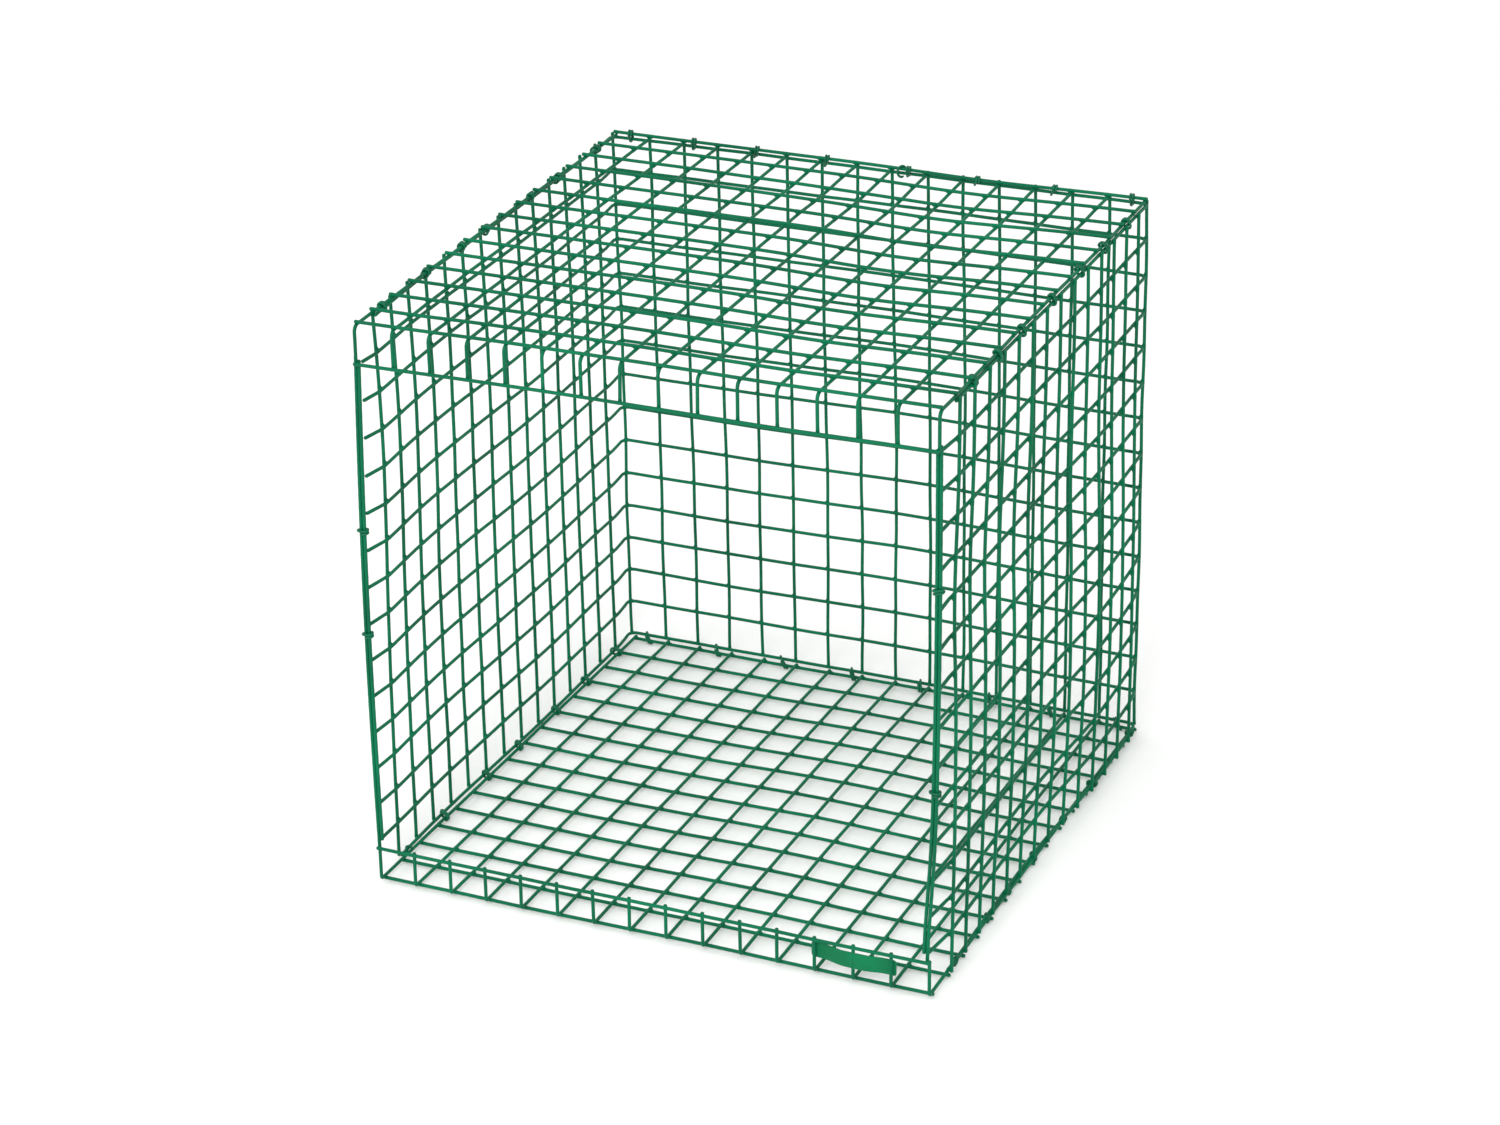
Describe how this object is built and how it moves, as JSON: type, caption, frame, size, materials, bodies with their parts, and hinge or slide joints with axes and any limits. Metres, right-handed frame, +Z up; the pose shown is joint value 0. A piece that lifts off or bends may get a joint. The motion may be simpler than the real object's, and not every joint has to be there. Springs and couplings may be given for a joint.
{
  "type": "wire mesh container",
  "caption": "Cube-shaped container of plastic coated welded wire mesh, open at the front, with folded lips, ringed seams and a blank plate.",
  "frame": {"origin": "bottom centre of the whole object's bounding box, on the surface that it rests on", "axes": "+Z up, the opening faces -Y, +X to the right for someone facing the opening from the front"},
  "size_m": [0.5904, 0.5942, 0.5888],
  "materials": {
    "coated_wire": "satin",
    "coated_ring": "satin",
    "plate": "matte"
  },
  "bodies": {
    "root": {"floor_back_wire": "coated_wire", "floor_cross_wires": "coated_wire", "floor_fold_wire": "coated_wire", "floor_line_wires": "coated_wire", "floor_lip_wire": "coated_wire", "floor_rings_back": "coated_ring", "floor_rings_left": "coated_ring", "floor_rings_right": "coated_ring", "floor_side_wire_left": "coated_wire", "floor_side_wire_right": "coated_wire", "id_plate": "plate", "loose_ring_floor": "coated_ring", "loose_ring_roof": "coated_ring", "post_inner_rod_left": "coated_wire", "post_inner_rod_right": "coated_wire", "post_outer_rod_left": "coated_wire", "post_outer_rod_right": "coated_wire", "post_rings_left": "coated_ring", "post_rings_right": "coated_ring", "roof_back_wire": "coated_wire", "roof_cross_wires": "coated_wire", "roof_fold_wire": "coated_wire", "roof_line_wires": "coated_wire", "roof_lip_wire": "coated_wire", "roof_rings_back": "coated_ring", "roof_rings_left": "coated_ring", "roof_rings_right": "coated_ring", "roof_side_wire_left": "coated_wire", "roof_side_wire_right": "coated_wire", "wall_bottom_rail": "coated_wire", "wall_hoop_01": "coated_wire", "wall_hoop_02": "coated_wire", "wall_hoop_03": "coated_wire", "wall_hoop_04": "coated_wire", "wall_hoop_05": "coated_wire", "wall_hoop_06": "coated_wire", "wall_hoop_07": "coated_wire", "wall_hoop_08": "coated_wire", "wall_hoop_09": "coated_wire", "wall_hoop_10": "coated_wire", "wall_hoop_11": "coated_wire", "wall_hoop_12": "coated_wire", "wall_hoop_13": "coated_wire", "wall_hoop_14": "coated_wire", "wall_top_rail": "coated_wire", "wall_uprights_back": "coated_wire", "wall_uprights_left": "coated_wire", "wall_uprights_right": "coated_wire"}
  },
  "joints": []
}
